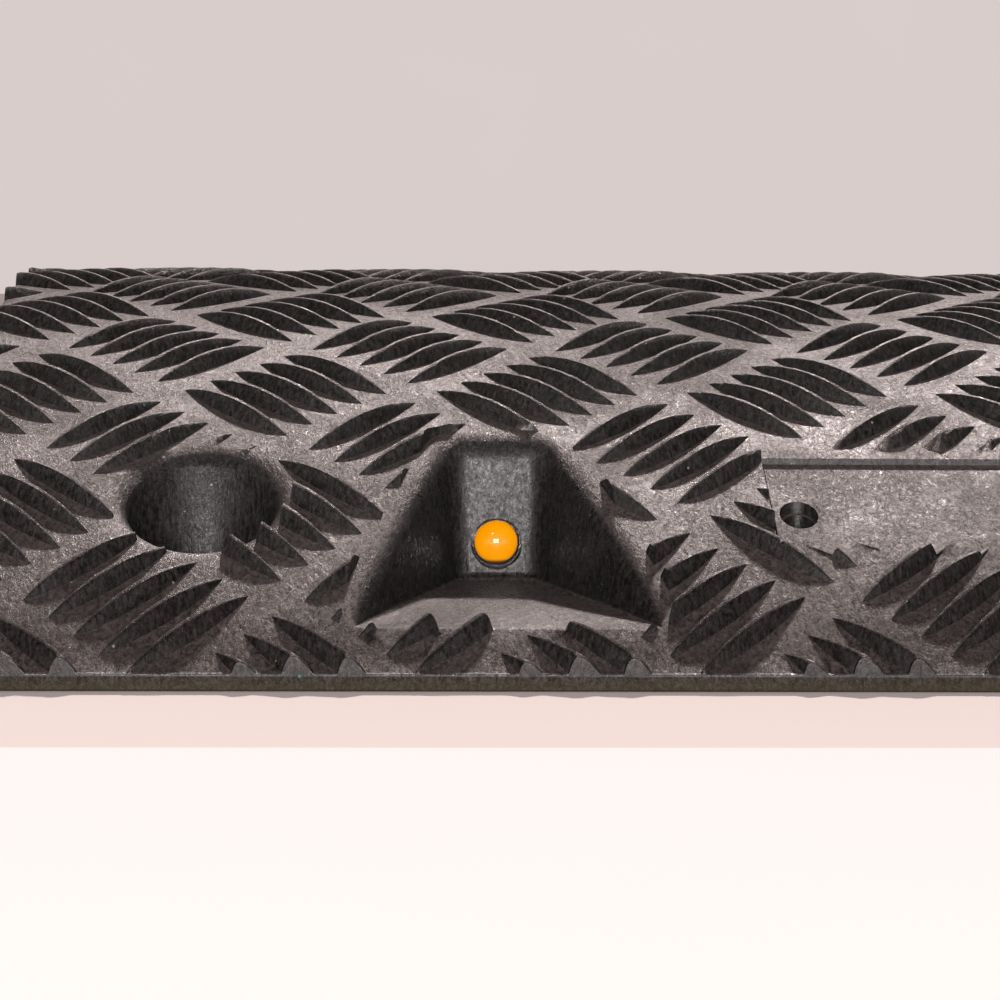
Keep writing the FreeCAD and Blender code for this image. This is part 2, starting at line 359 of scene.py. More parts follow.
def bar_net():
    """Points and lines of every tread bar's plan: foot, flanks and crest edges from tip to tip."""
    shares = np.sin(np.linspace(-0.5, 0.5, BAR_STATIONS + 1) * math.pi)[1:-1]
    parts = np.concatenate([-BAR_ACROSS[:0:-1], BAR_ACROSS[1:]])
    along = [-BAR_LENGTH / 2.0]
    across = [0.0]
    height = [0.0]
    for part in parts:
        along += list(shares * BAR_LENGTH / 2.0)
        across += list(part * bar_half_width(shares))
        height += list(bar_height(shares, np.full(len(shares), part)))
    along = np.array(along + [BAR_LENGTH / 2.0])
    across = np.array(across + [0.0])
    height = np.array(height + [0.0])
    lines = []
    last = len(along) - 1
    for row in range(len(parts)):
        numbers = [0] + list(range(1 + row * len(shares), 1 + (row + 1) * len(shares))) + [last]
        lines += list(zip(numbers, numbers[1:]))
    points = []
    edges = []
    total = 0
    rows = int(ARC_LENGTH / PITCH) + 3
    reach = BAR_LENGTH * math.sqrt(0.125)
    for turn in (1, -1):
        offset = 0.0 if turn > 0 else 0.5 * PITCH
        for row in range(-1, rows):
            for bar in range(BARS_PER_GROUP):
                shift = (bar - (BARS_PER_GROUP - 1) / 2.0) * BAR_STEP
                distance = FIRST_ROW + offset + row * PITCH - shift
                if distance < -reach or distance > ARC_LENGTH + reach:
                    continue
                foot = depth_of(distance + (turn * along + across) * math.sqrt(0.5))
                place_y = foot * (1.0 + BAR_LEAN * height / RADIUS)
                for column in range(-1, 12):
                    x = -HALF_LENGTH + FIRST_COLUMN + offset + column * PITCH + turn * shift
                    if abs(x) > HALF_LENGTH + reach:
                        continue
                    place_x = x + (along - turn * across) * math.sqrt(0.5)
                    points.append(np.column_stack([place_x, place_y]))
                    edges += [(total + a, total + b) for a, b in lines]
                    total += len(along)
    return np.vstack(points), edges


def pocket_path():
    """A front pocket's outline at its floor, from the front left corner round the back to the front right."""
    front = pocket_front()
    half_front = WALL_HALF_WIDTH + FLARE * (front - POCKET_WALL)
    corners = [(-half_front, -front), (-WALL_HALF_WIDTH, -POCKET_WALL)]
    corners += [(WALL_HALF_WIDTH, -POCKET_WALL), (half_front, -front)]
    corners = [np.array(c) for c in corners]
    path = list(spaced_line(corners[0], corners[1], 3.0))
    for n in (1, 2):
        before = corners[n - 1] - corners[n]
        after = corners[n + 1] - corners[n]
        before = before / np.linalg.norm(before)
        after = after / np.linalg.norm(after)
        opening = math.acos(float(np.dot(before, after)))
        back_off = CORNER_ROUND / math.tan(opening / 2.0)
        start = corners[n] + before * back_off
        end = corners[n] + after * back_off
        middle = before + after
        centre = corners[n] + middle / np.linalg.norm(middle) * CORNER_ROUND / math.sin(opening / 2.0)
        path = [p for p in path if np.dot(p - corners[n], before) > back_off + 1.0 or n == 2]
        one = math.atan2(start[1] - centre[1], start[0] - centre[0])
        two = math.atan2(end[1] - centre[1], end[0] - centre[0])
        if two - one > math.pi:
            two -= 2.0 * math.pi
        if one - two > math.pi:
            one -= 2.0 * math.pi
        for turn in np.linspace(one, two, 8):
            path.append(centre + CORNER_ROUND * np.array([math.cos(turn), math.sin(turn)]))
        if n == 1:
            far = corners[2] - np.array([back_off, 0.0])
            path += list(spaced_line(path[-1], far, 1.6))[1:]
    tail = spaced_line(corners[3], corners[2], 3.0)[::-1]
    arc_end = path[-1]
    path += [p for p in tail if p[1] < arc_end[1] - 1.0]
    return np.array(path)


def pocket_front():
    """Distance from the middle of the hump at which a pocket's floor comes out of the arc."""
    near = POCKET_WALL
    far = HALF_DEPTH
    for _ in range(40):
        middle = (near + far) / 2.0
        if plain_height(middle) > pocket_floor_height(-middle):
            near = middle
        else:
            far = middle
    return near


class Pocket:
    """One reflector pocket, worked out for the front of the hump. facing 1 turns it to the back."""

    def __init__(self, x, facing):
        self.x = x
        self.facing = facing
        self.path = pocket_path()
        ahead = np.vstack([self.path[1:], self.path[-1:]])
        behind = np.vstack([self.path[:1], self.path[:-1]])
        run = ahead - behind
        run = run / np.linalg.norm(run, axis=1)[:, None]
        self.out = np.column_stack([-run[:, 1], run[:, 0]])
        self.rows = self.make_rows()

    def make_rows(self):
        """Rows of 3-D points along the path, from outside the top edge down to the flat floor."""
        path = self.path
        out = self.out
        floor = pocket_floor_height(path[:, 1])
        wall_height = np.maximum(plain_height(path[:, 1]) - floor, 0.0)
        for _ in range(6):
            offset = np.maximum(wall_height - EDGE_ROUND, 0.0) * math.tan(WALL_DRAFT)
            place = path + out * offset[:, None]
            wall_height = np.maximum(plain_height(place[:, 1]) - floor, 0.0)
        foot = FLOOR_ROUND * np.clip(wall_height / 9.0, 0.0, 1.0)
        last = np.arccos(1.0 - np.clip((wall_height - foot) / EDGE_ROUND, 0.0, 1.0))
        rows = []
        for share in np.linspace(0.0, 0.93, 8):
            turn = share * last
            place = path + out * (offset + EDGE_ROUND * (np.sin(last) - np.sin(turn)))[:, None]
            height = plain_height(place[:, 1]) - EDGE_ROUND * (1.0 - np.cos(turn))
            rows.append(np.column_stack([place, np.maximum(height, floor)]))
        place = path + out * offset[:, None]
        height = np.maximum(plain_height(place[:, 1]) - EDGE_ROUND, floor + foot)
        rows.append(np.column_stack([place, height]))
        self.wall_top = len(rows) - 1
        place = path + out * (foot * math.tan(WALL_DRAFT))[:, None]
        rows.append(np.column_stack([place, floor + foot]))
        for turn in np.radians([60, 30, 0]):
            place = path - out * (foot * (1.0 - math.sin(turn)))[:, None]
            height = pocket_floor_height(place[:, 1]) + foot * (1.0 - math.cos(turn))
            rows.append(np.column_stack([place, height]))
        return rows

    def boundary(self, margin):
        """Closed outline in plan, a margin outside the pocket's own edge, in the row frame."""
        outer = self.rows[0][:, :2] + self.out * margin
        front = self.front_points() - np.array([0.0, margin])
        right = [outer[-1][0], front[0][1]]
        left = [outer[0][0], front[0][1]]
        outline = np.vstack([outer, [right], front, [left]])
        return outline * np.array([1.0, -self.facing]) + np.array([self.x, 0.0])

    def front_points(self):
        """Plan points of the floor's front edge, from right to left, without its ends."""
        return spaced_line(self.path[-1], self.path[0], 2.5)[1:]

    def placed(self, points):
        """Points in the row frame."""
        points = np.array(points, dtype=float)
        return points * np.array([1.0, -self.facing, 1.0]) + np.array([self.x, 0.0, 0.0])

    def build(self, surface, outer_loop):
        """Adds the pocket to a surface. outer_loop is the ring of points that the tread leaves round it."""
        rows = [surface.add(self.placed(row)) for row in self.rows]
        front = self.front_points()
        height = plain_height(front[:, 1]) - 0.15
        front_ids = surface.add(self.placed(np.column_stack([front, height])))
        inner_loop = rows[0] + front_ids
        surface.fill([outer_loop, inner_loop])
        flat = self.flat_wall()
        for n in range(len(rows) - 1):
            for m in range(len(self.path) - 1):
                if n == self.wall_top and flat[0] <= m < flat[1]:
                    continue
                surface.faces.append((rows[n][m], rows[n][m + 1], rows[n + 1][m + 1], rows[n + 1][m]))
        line = front + np.array([0.0, 0.8])
        height = pocket_floor_height(line[:, 1])
        line_ids = surface.add(self.placed(np.column_stack([line, height])))
        floor_loop = rows[-1] + line_ids
        surface.fill([floor_loop])
        ends = [rows[-1][-1]] + line_ids + [rows[-1][0]]
        fronts = [rows[-1][-1]] + front_ids + [rows[-1][0]]
        for n in range(len(ends) - 1):
            corners = (fronts[n], fronts[n + 1], ends[n + 1], ends[n])
            surface.faces.append(tuple(dict.fromkeys(corners)))
        self.build_socket(surface, rows, flat)

    def flat_wall(self):
        """First and last path point of the flat back wall."""
        flat = np.nonzero(np.abs(self.path[:, 1] + POCKET_WALL) < 1e-6)[0]
        return flat[0], flat[-1]

    def build_socket(self, surface, rows, flat):
        """The back wall with its round socket, which ends in a half ball."""
        low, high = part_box(ball_name(self.x, self.facing))
        centre = (np.array(low) + np.array(high)) / 2.0 / MM
        ball = (high[0] - low[0]) / MM / 2.0
        bore = ball + 0.32
        centre_y = -self.facing * centre[1]
        top = rows[self.wall_top][flat[0]:flat[1] + 1]
        bottom = rows[self.wall_top + 1][flat[0]:flat[1] + 1]
        count = 48
        turns = np.arange(count) * 2.0 * math.pi / count

        def ring(radius, depth):
            """Ring of points round the socket's axis. depth None lies on the wall."""
            z = centre[2] + radius * np.sin(turns)
            wall = -POCKET_WALL + (z - POCKET_FLOOR) * math.tan(WALL_DRAFT)
            y = wall if depth is None else np.full(count, depth)
            return surface.add(self.placed(np.column_stack([radius * np.cos(turns), y, z])))

        mouth = ring(bore + 0.45, None)
        collar = ring(bore + 0.7, None)
        border = bottom + top[::-1]
        inset = []
        for n in border:
            x = surface.points[n][0] - self.x
            x = math.copysign(max(abs(x) - 0.25, 0.0), x)
            z = surface.points[n][2] + (0.25 if n in bottom else -0.25)
            inset.append([x, -POCKET_WALL + (z - POCKET_FLOOR) * math.tan(WALL_DRAFT), z])
        inner = surface.add(self.placed(inset))
        surface.strip(border, inner)
        surface.fill([inner, collar], plane=(0, 2))
        surface.strip(collar, mouth)
        wall_y = -POCKET_WALL + (centre[2] - POCKET_FLOOR) * math.tan(WALL_DRAFT)
        rings = [mouth, ring(bore + 0.12, wall_y + 0.12), ring(bore, wall_y + 0.5), ring(bore, centre_y)]
        for turn in np.radians([20, 40, 60, 78]):
            rings.append(ring(bore * math.cos(turn), centre_y + bore * math.sin(turn)))
        for one, other in zip(rings, rings[1:]):
            surface.strip(one, other)
        pole = surface.add(self.placed([[0.0, centre_y + bore, centre[2]]]))[0]
        for n in range(count):
            surface.faces.append((rings[-1][n], rings[-1][(n + 1) % count], pole))


def ball_name(x, facing):
    """CAD node of the glass ball in one pocket."""
    return "glass_ball_" + ("front_" if facing < 0 else "back_") + ("left" if x < 0 else "right")


def build_hole(surface, x, y, outer_loop):
    """Adds one counterbored bolt hole, inside the ring that the tread leaves round it. Returns its bottom ring."""
    count = 72

    def ring(radius, height):
        """Ring round the hole at one height, or at the arc's own height less a drop."""
        place = circle(x, y, radius, count)
        return surface.add(np.column_stack([place, height(place[:, 1])]))

    def drop(amount):
        return lambda depth: plain_height(depth) - amount

    def level(amount):
        return lambda depth: np.full(len(depth), amount)

    rings = []
    start = math.radians(RIM_START)
    end = math.radians(RIM_END)
    bend = RIM_ROUND / (math.sin(end) - math.sin(start))
    for turn in np.linspace(start, end, 9)[1:]:
        radius = COUNTERBORE_RADIUS + bend * (math.sin(end) - math.sin(turn))
        rings.append(ring(radius, drop(bend * (math.cos(start) - math.cos(turn)))))
    rings.append(ring(COUNTERBORE_RADIUS, level(COUNTERBORE_SEAT + 0.8)))
    rings.append(ring(COUNTERBORE_RADIUS - 0.25, level(COUNTERBORE_SEAT + 0.25)))
    rings.append(ring(COUNTERBORE_RADIUS - 0.8, level(COUNTERBORE_SEAT)))
    rings.append(ring(HOLE_RADIUS + 0.5, level(COUNTERBORE_SEAT)))
    rings.append(ring(HOLE_RADIUS, level(COUNTERBORE_SEAT - 0.5)))
    rings.append(ring(HOLE_RADIUS, level(0.0)))
    surface.fill([outer_loop, rings[0]])
    for one, other in zip(rings, rings[1:]):
        surface.strip(one, other)
    return rings[-1]


def chain(edges):
    """Orders loose edges of one closed loop into a ring of point numbers."""
    after = {}
    for a, b in edges:
        after[a] = b
    ring = [edges[0][0]]
    while after[ring[-1]] != ring[0]:
        ring.append(after[ring[-1]])
    return ring


def build_ramp():
    """The whole ramp body as one closed mesh."""
    surface = Surface()
    pockets = [Pocket(side * POCKET_X, facing) for side in SIDES for facing in SIDES]
    holes = [(side * HOLE_X, end * HOLE_Y) for side in SIDES for end in SIDES]
    edge_x = HALF_LENGTH - TOP_ROUND
    edge_y = HALF_DEPTH - TOP_ROUND
    outline = spaced_polygon([(-edge_x, -edge_y), (edge_x, -edge_y), (edge_x, edge_y), (-edge_x, edge_y)], 5.0)
    pocket_loops = [pocket.boundary(POCKET_MARGIN) for pocket in pockets]
    hole_loops = [circle(x, y, COUNTERBORE_RADIUS + RIM_ROUND, 72) for x, y in holes]
    long = RECESS_HALF_LENGTH
    recess_corners = [(-long, -RECESS_FRONT), (long, -RECESS_FRONT), (long, -RECESS_BACK), (-long, -RECESS_BACK)]
    recess = spaced_polygon(recess_corners, 4.0)
    land_y = -RECESS_BACK + RECESS_LAND
    land = spaced_polygon([(-long, -RECESS_BACK), (long, -RECESS_BACK), (long, land_y), (-long, land_y)], 4.0)
    marks = [(side * (long - DIMPLE_INSET), -RECESS_FRONT + 0.32 * (RECESS_FRONT - RECESS_BACK)) for side in SIDES]
    stretch = np.array([DIMPLE_HALF_LENGTH, DIMPLE_HALF_DEPTH])
    dimples = [circle(0.0, 0.0, 1.0, 40) * stretch + np.array(mark) for mark in marks]
    cores = [circle(0.0, 0.0, DIMPLE_CORE, 40) * stretch + np.array(mark) for mark in marks]
    grooves = []
    for side in SIDES:
        one = side * long
        other = side * (long - GROOVE_WIDTH)
        corners = [(one, -RECESS_FRONT), (other, -RECESS_FRONT), (other, -RECESS_BACK), (one, -RECESS_BACK)]
        grooves.append(spaced_polygon(corners, 4.0))
    front_y = -RECESS_FRONT - RECESS_RUN_OUT
    shaved = spaced_polygon([(-long, front_y), (long, front_y), (long, -RECESS_FRONT), (-long, -RECESS_FRONT)], 4.0)

    points, edges = bar_net()
    points = [points]
    edges = list(edges)
    total = len(points[0])
    for loop in [outline] + pocket_loops + hole_loops + [recess, land, shaved] + dimples + cores + grooves:
        points.append(loop)
        edges += loop_edges(total, len(loop))
        total += len(loop)
    step = PITCH / 6.0
    spare_x, spare_y = np.meshgrid(np.arange(-edge_x + 3, edge_x, step), np.arange(-edge_y + 3, edge_y, step))
    spare = np.column_stack([spare_x.ravel(), spare_y.ravel()])
    clear = tread_height(spare[:, 0], spare[:, 1]) - plain_height(spare[:, 1]) < 1e-6
    points.append(spare[clear])
    flat, triangles, _ = triangulate(np.vstack(points), edges)

    middle = flat[triangles].mean(axis=1)
    mx = middle[:, 0]
    my = middle[:, 1]
    kind = np.full(len(triangles), TREAD)
    kind[inside_polygon(mx, my, recess)] = RECESS
    kind[inside_polygon(mx, my, land)] = PLAIN
    for loop in dimples:
        kind[inside_polygon(mx, my, loop)] = DIMPLE
    for loop in cores:
        kind[inside_polygon(mx, my, loop)] = CORE
    kind[inside_polygon(mx, my, shaved)] = SHAVED
    for loop in grooves:
        kind[inside_polygon(mx, my, loop)] = GROOVE
    for n, loop in enumerate(pocket_loops + hole_loops):
        kind[inside_polygon(mx, my, loop)] = FIRST_ZONE + n
    kind[~inside_polygon(mx, my, outline)] = OUTSIDE

    heights = {
        TREAD: tread_height(flat[:, 0], flat[:, 1]),
        PLAIN: plain_height(flat[:, 1]),
        RECESS: recess_height(flat[:, 1]),
        DIMPLE: recess_height(flat[:, 1]) - DIMPLE_STEP,
        CORE: recess_height(flat[:, 1]) - DIMPLE_BOTTOM,
        SHAVED: shaved_height(flat[:, 0], flat[:, 1]),
        GROOVE: recess_height(flat[:, 1]) - GROOVE_DEPTH,
    }
    numbers = {}
    for code, height in heights.items():
        used = np.unique(triangles[kind == code])
        if code == PLAIN:
            used = np.unique(triangles[(kind >= FIRST_ZONE) | (kind == PLAIN)])
        table = np.full(len(flat), -1)
        table[used] = surface.add(np.column_stack([flat[used], height[used]]))
        numbers[code] = table
    for code in heights:
        for triangle in numbers[code][triangles[kind == code]]:
            surface.faces.append(tuple(int(n) for n in triangle))

    region_beside = {}
    for code, triangle in zip(kind, triangles):
        if code == OUTSIDE:
            continue
        for a, b in ((triangle[0], triangle[1]), (triangle[1], triangle[2]), (triangle[2], triangle[0])):
            region_beside[(int(a), int(b))] = int(code)

    def between(place, start, end):
        """Point numbers at one place from one region's height to another's, with any third height on the way."""
        low, high = sorted((surface.points[start[place]][2], surface.points[end[place]][2]))
        stops = {int(start[place]), int(end[place])}
        for table in numbers.values():
            if table[place] >= 0 and low < surface.points[table[place]][2] < high:
                stops.add(int(table[place]))
        rising = surface.points[start[place]][2] <= surface.points[end[place]][2]
        ordered = sorted(stops, key=lambda stop: surface.points[stop][2], reverse=not rising)
        if ordered[0] != int(start[place]):
            ordered.reverse()
        return ordered

    zone_edges = {}
    rim_edges = []
    for (a, b), code in region_beside.items():
        other = region_beside.get((b, a), OUTSIDE)
        if code == other:
            continue
        if other == OUTSIDE:
            rim_edges.append((a, b))
            continue
        if code >= FIRST_ZONE:
            continue
        if other >= FIRST_ZONE:
            zone_edges.setdefault(other, []).append((a, b))
            other = PLAIN
        elif other < code:
            continue
        here = numbers[code]
        there = numbers[other]
        if here is there:
            continue
        first_side = between(a, here, there)
        second_side = between(b, there, here)
        surface.faces.append(tuple([int(here[b])] + first_side + second_side[:-1]))

    bottom_rings = []
    for n, zone in enumerate(pockets + holes):
        ring = [int(numbers[PLAIN][v]) for v in chain(zone_edges[FIRST_ZONE + n])]
        if isinstance(zone, Pocket):
            zone.build(surface, ring)
        else:
            bottom_rings.append(build_hole(surface, zone[0], zone[1], ring))
    build_skirt(surface, [int(numbers[TREAD][v]) for v in chain(rim_edges)], edge_x, edge_y, bottom_rings)
    return surface


def build_skirt(surface, rim, edge_x, edge_y, bottom_rings):
    """The broken top edge, the upright sides and the flat underside."""
    top = np.array([surface.points[n] for n in rim])
    out_x = np.where(np.abs(top[:, 0]) > edge_x - 1e-3, np.sign(top[:, 0]), 0.0)
    out_y = np.where(np.abs(top[:, 1]) > edge_y - 1e-3, np.sign(top[:, 1]), 0.0)
    out = np.column_stack([out_x, out_y])
    rows = [rim]
    for reach, drop in LIP_EDGE:
        rows.append(surface.add(np.column_stack([top[:, :2] + out * reach, top[:, 2] - drop])))
    outer = top[:, :2] + out * TOP_ROUND
    rows.append(surface.add(np.column_stack([outer, np.full(len(rim), EDGE_BREAK)])))
    rows.append(surface.add(np.column_stack([outer - out * EDGE_BREAK, np.zeros(len(rim))])))
    for one, other in zip(rows, rows[1:]):
        surface.strip(one, other)
    surface.fill([rows[-1]] + bottom_rings)


ramp = build_ramp().mesh_object("ramp_shell", 38.0)
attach(ramp, "root")
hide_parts("ramp_body")


# ------------------------------------------------------------------ reflectors


def turned_object(name, profile, centre, facing, count=64):
    """A closed solid of revolution about the Y direction. profile is (radius, depth) from pole to pole."""
    surface = Surface()
    turns = np.arange(count) * 2.0 * math.pi / count
    rings = []
    for radius, depth in profile:
        if radius < 1e-9:
            rings.append(surface.add([centre + np.array([0.0, -facing * depth, 0.0])]) * count)
            continue
        y = np.full(count, centre[1] - facing * depth)
        x = centre[0] + radius * np.cos(turns)
        z = centre[2] + radius * np.sin(turns)
        rings.append(surface.add(np.column_stack([x, y, z])))
    for one, other in zip(rings, rings[1:]):
        for n in range(count):
            m = (n + 1) % count
            corners = [one[n], one[m], other[m], other[n]]
            surface.faces.append(tuple(dict.fromkeys(corners)))
    return surface.mesh_object(name, 50.0)


def ball_profile(radius):
    """A glass ball, very slightly flattened where it was cut from its sprue at the back."""
    turns = np.linspace(-90.0, 90.0, 41)
    profile = [(radius * math.cos(math.radians(t)), radius * math.sin(math.radians(t))) for t in turns]
    profile[0] = (0.0, -radius * 0.985)
    profile[-1] = (0.0, radius)
    return profile


def cup_profile(inner, outer):
    """A half-round cup with a small rolled rim that holds the ball."""
    turns = np.linspace(-90.0, 0.0, 17)
    outside = [(outer * math.cos(math.radians(t)), outer * math.sin(math.radians(t))) for t in turns]
    inside = [(inner * math.cos(math.radians(t)), inner * math.sin(math.radians(t))) for t in turns[::-1]]
    outside[0] = (0.0, -outer)
    inside[-1] = (0.0, -inner)
    lip = [(outer, 0.3), ((inner + outer) / 2.0, 0.42), (inner + 0.01, 0.3)]
    return outside + lip + inside


balls = []
cups = []
for side in SIDES:
    for facing in SIDES:
        node = ball_name(side, facing)
        low, high = (np.array(c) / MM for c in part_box(node))
        centre = (low + high) / 2.0
        radius = (high[0] - low[0]) / 2.0
        place = node.replace("glass_ball_", "")
        ball = turned_object("amber_ball_" + place, ball_profile(radius - 0.01), centre, -facing)
        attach(ball, "root")
        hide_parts(node)
        balls.append(ball)
        cup = turned_object("foil_cup_" + place, cup_profile(radius + 0.02, radius + 0.26), centre, -facing)
        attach(cup, "root")
        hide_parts("mirror_cup_" + place)
        cups.append(cup)


# ------------------------------------------------------------------ materials


class Nodes:
    """Short calls for a material's node tree."""

    def __init__(self, name):
        self.material = bpy.data.materials.new(name)
        self.material.use_nodes = True
        self.tree = self.material.node_tree
        self.shader = self.tree.nodes["Principled BSDF"]
        self.place = self.add("ShaderNodeTexCoord").outputs["Object"]

    def add(self, kind, inputs=None, **settings):
        """Adds a node. inputs maps a socket's name or number to a value or to another node's output."""
        node = self.tree.nodes.new(kind)
        for key, value in settings.items():
            setattr(node, key, value)
        for key, value in (inputs or {}).items():
            self.set(node.inputs[key], value)
        return node

    def set(self, socket, value):
        """Sets or links one socket."""
        if isinstance(value, bpy.types.NodeSocket):
            self.tree.links.new(value, socket)
        else:
            socket.default_value = value

    def noise(self, scale, detail=3.0, rough=0.5, distortion=0.0, stretch=(1.0, 1.0, 1.0), turn=(0.0, 0.0, 0.0)):
        """Noise with its scale in waves per millimetre."""
        mapping = self.add("ShaderNodeMapping", {"Vector": self.place, "Scale": stretch, "Rotation": turn})
        values = {"Vector": mapping.outputs[0], "Scale": scale / MM, "Detail": detail, "Roughness": rough}
        values["Distortion"] = distortion
        return self.add("ShaderNodeTexNoise", values).outputs["Fac"]

    def math(self, operation, *values, clamp=False):
        """Arithmetic on values or sockets."""
        return self.add("ShaderNodeMath", dict(enumerate(values)), operation=operation, use_clamp=clamp).outputs[0]

    def span(self, value, low, high, to_low=0.0, to_high=1.0, smooth=False):
        """Maps a range to another, clamped."""
        kind = "SMOOTHSTEP" if smooth else "LINEAR"
        inputs = {"Value": value, "From Min": low, "From Max": high, "To Min": to_low, "To Max": to_high}
        return self.add("ShaderNodeMapRange", inputs, interpolation_type=kind).outputs[0]

    def mix(self, share, one, other):
        """Mixes two colours."""
        node = self.add("ShaderNodeMix", {"Factor": share}, data_type="RGBA")
        self.set(node.inputs[6], one)
        self.set(node.inputs[7], other)
        return node.outputs[2]

    def bump(self, height, distance, strength, normal=None):
        """Bump, with its depth in millimetres."""
        inputs = {"Height": height, "Distance": distance * MM, "Strength": strength}
        if normal is not None:
            inputs["Normal"] = normal
        return self.add("ShaderNodeBump", inputs).outputs[0]


def recycled_plastic():
    """Dark recycled PVC: fibrous and streaky, with sparse bright flecks. What faces up is painted paler and steep
    faces darker, a painted light and shade.
    """
    n = Nodes("recycled_pvc")
    up = n.add("ShaderNodeSeparateXYZ", {"Vector": n.add("ShaderNodeNewGeometry").outputs["Normal"]}).outputs["Z"]
    height = n.add("ShaderNodeSeparateXYZ", {"Vector": n.place}).outputs["Z"]
    cloud = n.noise(0.03, 4.0, 0.6)
    patch = n.noise(0.018, 3.0, 0.6, 0.8)
    strand = n.noise(0.42, 4.0, 0.72, 2.4, (1.0, 0.62, 0.62), (0.0, 0.0, 0.35))
    drawn = n.noise(1.4, 3.0, 0.6, 0.5, (1.0, 1.0, 0.22))
    swirl = n.noise(0.30, 5.0, 0.72, 3.2, (1.0, 1.0, 0.8))
    grain = n.noise(1.25, 3.0, 0.75, 0.6, (1.0, 0.65, 0.65))
    hair = n.span(n.math("ABSOLUTE", n.math("SUBTRACT", n.noise(0.22, 3.0, 0.65, 3.2), 0.5)), 0.0, 0.03, 1.0, 0.0)
    wisp = n.span(n.math("ABSOLUTE", n.math("SUBTRACT", n.noise(0.5, 2.0, 0.6, 1.8), 0.5)), 0.0, 0.05, 1.0, 0.0)
    level = n.span(up, 0.55, 0.85, smooth=True)
    steep = n.span(up, 0.02, 0.5, 1.0, 0.0, smooth=True)
    tone = n.math("ADD", n.math("MULTIPLY", strand, 0.55), n.math("MULTIPLY", grain, 0.45))
    streak = n.math("ADD", n.math("MULTIPLY", drawn, 0.35), n.math("MULTIPLY", grain, 0.25))
    streak = n.math("ADD", streak, n.math("MULTIPLY", swirl, 0.4))
    # the steep colour is darker and the up-facing one paler: painted shade and painted light over the real streaks
    # and grain
    streaks_in_painted_shade = n.mix(n.span(streak, 0.44, 0.62), (0.004, 0.0036, 0.0034, 1.0), (0.070, 0.064, 0.062, 1.0))
    pale = n.mix(n.span(tone, 0.40, 0.60), (0.034, 0.027, 0.025, 1.0), (0.205, 0.170, 0.162, 1.0))
    pale = n.mix(n.span(cloud, 0.35, 0.7, 0.45, 0.0), pale, (0.075, 0.062, 0.056, 1.0))
    # painted light and shade: up-facing faces take the paler colour, steep faces the darker one
    colour = n.mix(level, streaks_in_painted_shade, pale)
    lines = n.math("MAXIMUM", n.math("MULTIPLY", hair, 0.7), n.math("MULTIPLY", wisp, 0.5))
    colour = n.mix(n.math("MULTIPLY", lines, n.span(patch, 0.4, 0.6, 0.35, 0.8)), colour, (0.022, 0.018, 0.018, 1.0))
    # olive-brown on the upright faces below 2.9 mm, strongest towards the bottom
    low_olive = n.span(height, 0.0006, 0.0030, 0.75, 0.25, smooth=True)
    foot = n.math("MULTIPLY", steep, n.math("LESS_THAN", height, 0.0029))
    colour = n.mix(n.math("MULTIPLY", low_olive, foot), colour, (0.058, 0.046, 0.022, 1.0))
    cells = n.add("ShaderNodeTexVoronoi", {"Vector": n.place, "Scale": 0.19 / MM, "Randomness": 1.0})
    spot = n.span(n.math("ADD", cells.outputs["Distance"], n.math("MULTIPLY", grain, 0.09)), 0.085, 0.11, 1.0, 0.0)
    pick = n.add("ShaderNodeSeparateColor", {"Color": cells.outputs["Color"]})
    rare = n.math("GREATER_THAN", pick.outputs["Red"], 0.6)
    ramp_node = n.add("ShaderNodeValToRGB", {"Fac": pick.outputs["Green"]})
    ramp_node.color_ramp.interpolation = "CONSTANT"
    stops = ramp_node.color_ramp.elements
    stops[0].position, stops[0].color = 0.0, (0.33, 0.09, 0.07, 1.0)
    stops[1].position, stops[1].color = 0.14, (0.05, 0.24, 0.25, 1.0)
    for position, paint in (
        (0.22, (0.42, 0.39, 0.36, 1.0)),
        (0.60, (0.27, 0.26, 0.06, 1.0)),
        (0.74, (0.20, 0.13, 0.08, 1.0)),
        (0.88, (0.016, 0.014, 0.014, 1.0)),
    ):
        stop = stops.new(position)
        stop.color = paint
    colour = n.mix(n.math("MULTIPLY", spot, rare), colour, ramp_node.outputs["Color"])
    # painted shade: the sloping flats low on the hump are darkened, and their specular is lowered there too
    painted_low_shade = n.math("MULTIPLY", n.span(height, 0.008, 0.040, 1.0, 0.0), n.math("GREATER_THAN", height, 0.0036))
    painted_low_shade = n.math("MULTIPLY", painted_low_shade, n.span(up, 0.92, 0.98, 1.0, 0.1))
    colour = n.mix(n.math("MULTIPLY", painted_low_shade, 0.22), colour, (0.012, 0.010, 0.009, 1.0))
    n.set(n.shader.inputs["Base Color"], colour)
    rough = n.math("ADD", n.span(tone, 0.41, 0.59, 0.54, 0.25), n.math("MULTIPLY", lines, 0.12))
    rough = n.math("SUBTRACT", rough, n.math("MULTIPLY", steep, 0.08))
    rough = n.math("ADD", rough, n.math("MULTIPLY", foot, 0.2))
    n.set(n.shader.inputs["Roughness"], rough)
    worn = n.span(height, 0.057, 0.068, 1.0, 0.62)
    matt = n.math("SUBTRACT", 1.0, n.math("MULTIPLY", painted_low_shade, 0.84))
    shine = n.math("MULTIPLY", n.math("MULTIPLY", worn, matt), 0.66)
    shine = n.add("ShaderNodeMix", {"Factor": steep, 2: shine, 3: 0.68}).outputs[0]
    shine = n.math("MULTIPLY", shine, n.math("SUBTRACT", 1.0, n.math("MULTIPLY", lines, 0.75)))
    shine = n.math("SUBTRACT", shine, n.math("MULTIPLY", foot, 0.36))
    n.set(n.shader.inputs["Specular IOR Level"], shine)
    flat_relief = n.math("SUBTRACT", tone, n.math("MULTIPLY", lines, 0.10))
    relief = n.add("ShaderNodeMix", {"Factor": steep, 2: flat_relief, 3: n.math("MULTIPLY", streak, 0.28)}).outputs[0]
    n.set(n.shader.inputs["Normal"], n.bump(relief, 0.72, n.span(patch, 0.40, 0.60, 0.5, 1.0)))
    return n.material


